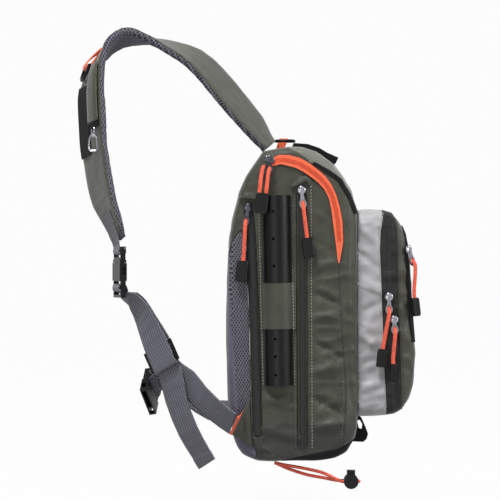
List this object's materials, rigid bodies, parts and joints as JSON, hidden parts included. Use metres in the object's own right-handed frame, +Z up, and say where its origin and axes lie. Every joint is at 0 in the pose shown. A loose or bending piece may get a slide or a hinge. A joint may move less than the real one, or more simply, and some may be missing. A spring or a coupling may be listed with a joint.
{
  "type": "fishing tackle sling bag",
  "caption": "Sling bag for fishing tackle with a padded shoulder strap, rod tube, front pocket and zip pulls, in its hanging form",
  "frame": {"origin": "the shoulder seat: the middle of the underside of the strap where it arches highest", "axes": "+Z up, +X from the back pad towards the front pocket, +Y away from the viewer of the side with the rod tube"},
  "size_m": [0.4728, 0.2926, 0.6313],
  "materials": {
    "olive": "matt nylon",
    "mesh_grey": "air mesh over foam",
    "silver_cloth": "matt nylon",
    "orange": "matt tape and webbing",
    "orange_cord": "woven cord",
    "black_cloth": "matt nylon",
    "black_plastic": "moulded, slightly glossy",
    "web_grey": "ribbed webbing",
    "steel": "plated",
    "gunmetal": "dark plated"
  },
  "bodies": {
    "root": {"body_shell": "olive", "back_pad": "mesh_grey", "bottom_panel": "black_cloth", "main_zip": "orange", "back_zip": "black_cloth", "mid_zip": "black_cloth", "trim_near": "black_cloth", "trim_far": "black_cloth", "top_flap": "black_cloth", "rod_tube": "black_plastic", "tube_band": "olive", "pocket_gusset": "silver_cloth", "pocket_front": "olive", "pocket_zip": "black_cloth", "front_zip": "black_cloth", "front_loop": "black_cloth", "top_dring": "black_plastic", "top_loop": "orange", "strap_pad": "mesh_grey", "strap_cover": "olive", "strap_patch": "black_cloth", "strap_pocket": "olive", "strap_dring": "black_plastic", "strap_loop": "orange", "swivel_eye": "steel", "clip_tab": "black_cloth", "buckle_female": "black_plastic", "buckle_male": "black_plastic", "strap_webbing": "web_grey", "webbing_main": "web_grey", "tri_glide": "black_plastic", "webbing_tail": "web_grey", "wing_near": "olive", "wing_far": "olive", "buckle_spare": "black_plastic", "webbing_far": "web_grey", "slider_main": "gunmetal", "pull_main_1": "orange_cord", "pull_main_2": "orange_cord", "grip_main": "black_plastic", "slider_back": "gunmetal", "pull_back": "orange_cord", "grip_back": "black_plastic", "slider_mid": "steel", "pull_mid": "orange_cord", "grip_mid": "black_plastic", "slider_pocket_a": "steel", "pull_pocket_a": "orange_cord", "grip_pocket_a": "black_plastic", "slider_pocket_b": "steel", "pull_pocket_b": "orange_cord", "grip_pocket_b": "black_plastic", "slider_front": "steel", "pull_front": "orange_cord", "grip_front": "black_plastic", "shock_cord": "orange_cord", "cord_lock": "black_plastic"},
    "snap_hook_body": {"snap_hook": "steel"},
    "gate_body": {"hook_gate": "steel"},
    "button_body": {"lock_button": "black_plastic"}
  },
  "joints": [
    {"name": "hook_swivel", "type": "hinge", "parent": "root", "child": "snap_hook_body", "pos_m": [-0.05755, -0.06743, -0.135], "axis": [0, 0, 1], "continuous": true},
    {"name": "gate_hinge", "type": "hinge", "parent": "snap_hook_body", "child": "gate_body", "pos_m": [-0.05175, -0.06743, -0.1447], "axis": [0, -1, 0], "range_deg": [0, 25], "stiffness_Nm_per_rad": 0.01},
    {"name": "lock_press", "type": "slide", "parent": "root", "child": "button_body", "axis": [0, 0, -1], "range_m": [0, 0.003], "stiffness_N_per_m": 300}
  ]
}
